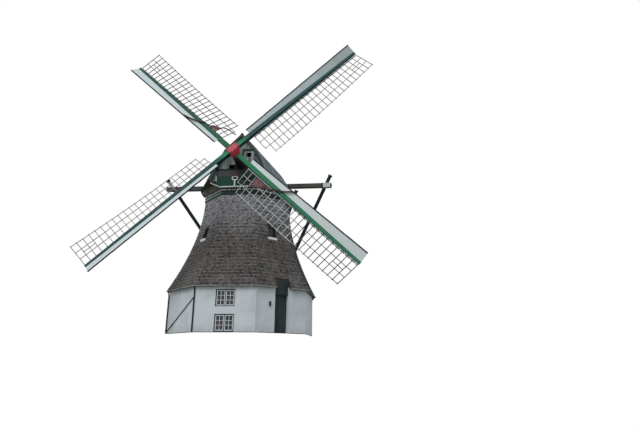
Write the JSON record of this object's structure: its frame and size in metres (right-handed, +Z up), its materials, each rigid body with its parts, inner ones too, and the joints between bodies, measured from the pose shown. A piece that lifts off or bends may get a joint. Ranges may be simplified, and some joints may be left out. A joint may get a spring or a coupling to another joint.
{
  "type": "smock windmill",
  "caption": "Eight-sided smock windmill: white masonry base with door and windows, flared shingled smock, turning cap with tail pole, and common sails with windboards.",
  "frame": {"origin": "centre of the masonry base at ground level, on the mill's turning axis", "axes": "+Z up, -Y towards the front face, which the sails face at rest, +X to the right seen from the front"},
  "size_m": [18.7128, 14.2128, 20.8169],
  "materials": {
    "masonry": "limewashed masonry",
    "boards": "bare boards",
    "shingles": "weathered shingles",
    "green_paint": "worn green paint",
    "dark_paint": "dark green paint",
    "white_paint": "white paint",
    "grey_timber": "weathered timber",
    "roofing": "slate grey roofing",
    "glass": "window glass",
    "lead": "dark sheet metal",
    "pipe": "black paint",
    "red_paint": "red paint",
    "sailboard": "pale grey paint",
    "cloth": "tanned sailcloth"
  },
  "bodies": {
    "tower": {"wall_front": "masonry", "wall_back": "masonry", "wall_doorway": "masonry", "walls_sides": "masonry", "walls_diagonal": "masonry", "floors": "boards", "sole_plate": "boards", "smock_front_back": "shingles", "smock_door_side": "shingles", "smock_sides": "shingles", "smock_left_side": "shingles", "curb_band": "green_paint", "curb_blocks": "white_paint", "window_frames": "dark_paint", "window_sashes": "white_paint", "window_glass": "glass", "door_frame": "dark_paint", "door_head": "lead", "loft_windows": "white_paint", "eave_brackets": "pipe", "downpipes": "pipe"},
    "door": {"door_leaf": "dark_paint"},
    "cap": {"cap_roof_left": "roofing", "cap_roof_right": "roofing", "front_gable": "grey_timber", "rear_gable": "grey_timber", "barge_boards": "grey_timber", "name_board": "green_paint", "front_boards": "green_paint", "valance": "white_paint", "ornament": "white_paint", "cap_skirt": "dark_paint", "cap_ring": "boards", "sheers": "boards", "shaft_bearings": "boards", "spruits": "grey_timber", "tail_pole": "dark_paint", "braces": "dark_paint", "winch": "dark_paint"},
    "rotor": {"windshaft": "red_paint", "poll_end": "red_paint", "outer_stock": "green_paint", "inner_stock": "green_paint", "sail_lattice_1": "sailboard", "sail_lattice_2": "sailboard", "sail_lattice_3": "sailboard", "sail_lattice_4": "sailboard", "windboards": "sailboard", "windboard_edges": "dark_paint", "furled_cloths": "cloth"}
  },
  "joints": [
    {"name": "cap_turn", "type": "hinge", "parent": "tower", "child": "cap", "pos_m": [0, 0, 9.5], "axis": [0, 0, 1], "continuous": true},
    {"name": "sail_turn", "type": "hinge", "parent": "cap", "child": "rotor", "pos_m": [0, -4.64, 11.68], "axis": [0, -0.9781, 0.2079], "continuous": true},
    {"name": "door_swing", "type": "hinge", "parent": "tower", "child": "door", "pos_m": [3.3432, -2.7096, 1.2], "axis": [0, 0, -1], "range_deg": [0, 90]}
  ]
}
